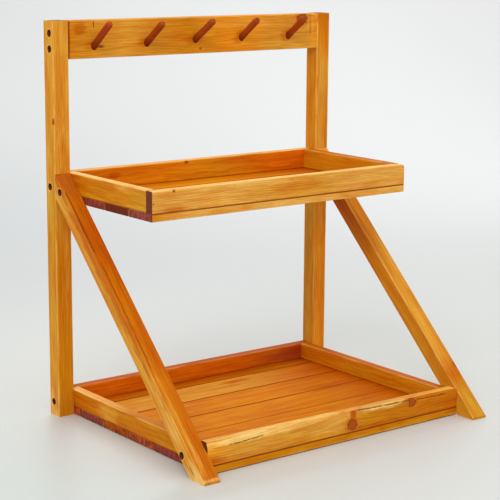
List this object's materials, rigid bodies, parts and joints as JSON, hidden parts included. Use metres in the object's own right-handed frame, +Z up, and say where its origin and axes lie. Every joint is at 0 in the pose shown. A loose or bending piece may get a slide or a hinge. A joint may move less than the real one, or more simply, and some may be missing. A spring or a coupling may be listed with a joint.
{
  "type": "two-tier kitchen shelf",
  "caption": "Wooden counter shelf: upright posts with slanted front braces carry an upper and a lower slatted tray, under a top rail of slanted pegs for mugs.",
  "frame": {"origin": "on the surface the shelf stands on, in the middle of its width and depth", "axes": "+X to the right seen from the front, +Y to the back, where the posts are, +Z up"},
  "size_m": [0.396, 0.3096, 0.45],
  "materials": {
    "post": "satin honey varnish on knotty pine",
    "brace": "satin honey varnish on knotty pine",
    "rail": "satin honey varnish on pine",
    "front_board": "satin honey varnish on pine",
    "rim_board": "satin orange varnish on pine",
    "slat": "satin honey varnish on pine",
    "peg": "satin red-brown varnish on dowel",
    "screw": "dark oxidised steel",
    "brad": "dull steel"
  },
  "bodies": {
    "root": {"left_post": "post", "left_brace": "brace", "right_post": "post", "right_brace": "brace", "top_rail": "rail", "upper_front_board": "front_board", "upper_back_board": "rim_board", "upper_left_board": "rim_board", "upper_right_board": "rim_board", "upper_slat_1": "slat", "upper_slat_2": "slat", "upper_slat_3": "slat", "upper_slat_4": "slat", "lower_front_board": "front_board", "lower_back_board": "rim_board", "lower_left_board": "rim_board", "lower_right_board": "rim_board", "lower_slat_1": "slat", "lower_slat_2": "slat", "lower_slat_3": "slat", "lower_slat_4": "slat", "lower_slat_5": "slat", "lower_slat_6": "slat", "peg_1": "peg", "peg_2": "peg", "peg_3": "peg", "peg_4": "peg", "peg_5": "peg", "rail_screws": "screw", "upper_post_screws": "screw", "lower_post_screws": "screw", "upper_brace_screws": "screw", "lower_brace_screws": "screw", "upper_corner_brads": "brad", "lower_corner_brads": "brad", "upper_slat_brads": "brad", "lower_slat_brads": "brad"}
  },
  "joints": []
}
